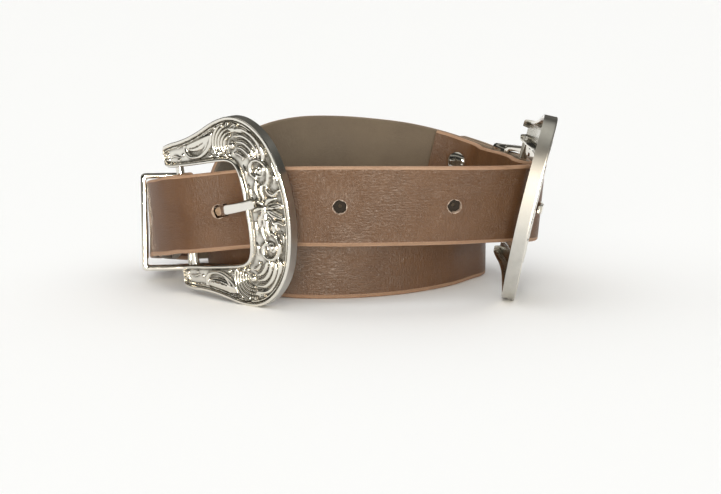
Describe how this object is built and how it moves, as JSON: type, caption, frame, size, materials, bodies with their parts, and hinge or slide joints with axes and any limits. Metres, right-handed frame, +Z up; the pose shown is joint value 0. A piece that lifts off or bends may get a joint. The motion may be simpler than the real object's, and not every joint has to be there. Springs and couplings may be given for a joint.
{
  "type": "double buckle belt",
  "caption": "Closed western leather belt in two standing laps, with large cast D shaped buckles on a punched front strap, keepers and press snaps.",
  "frame": {"origin": "middle of the outer box in plan, on the surface that the belt stands on", "axes": "+X to the right along the front strap, +Y from the front to the back, +Z up"},
  "size_m": [0.1574, 0.1088, 0.0692],
  "materials": {
    "strap_leather": "smooth finished brown leather with pale painted edges",
    "cast_metal": "polished nickel coloured plating, darkened in the sunk ground of the relief",
    "plain_metal": "polished nickel coloured plating"
  },
  "bodies": {
    "root": {"main_strap": "strap_leather", "front_strap": "strap_leather", "buckle_frame_left": "cast_metal", "buckle_frame_right": "cast_metal", "prong_left": "plain_metal", "prong_right": "plain_metal", "keeper_left": "plain_metal", "keeper_right": "plain_metal", "snap_left": "plain_metal", "snap_right": "plain_metal"}
  },
  "joints": []
}
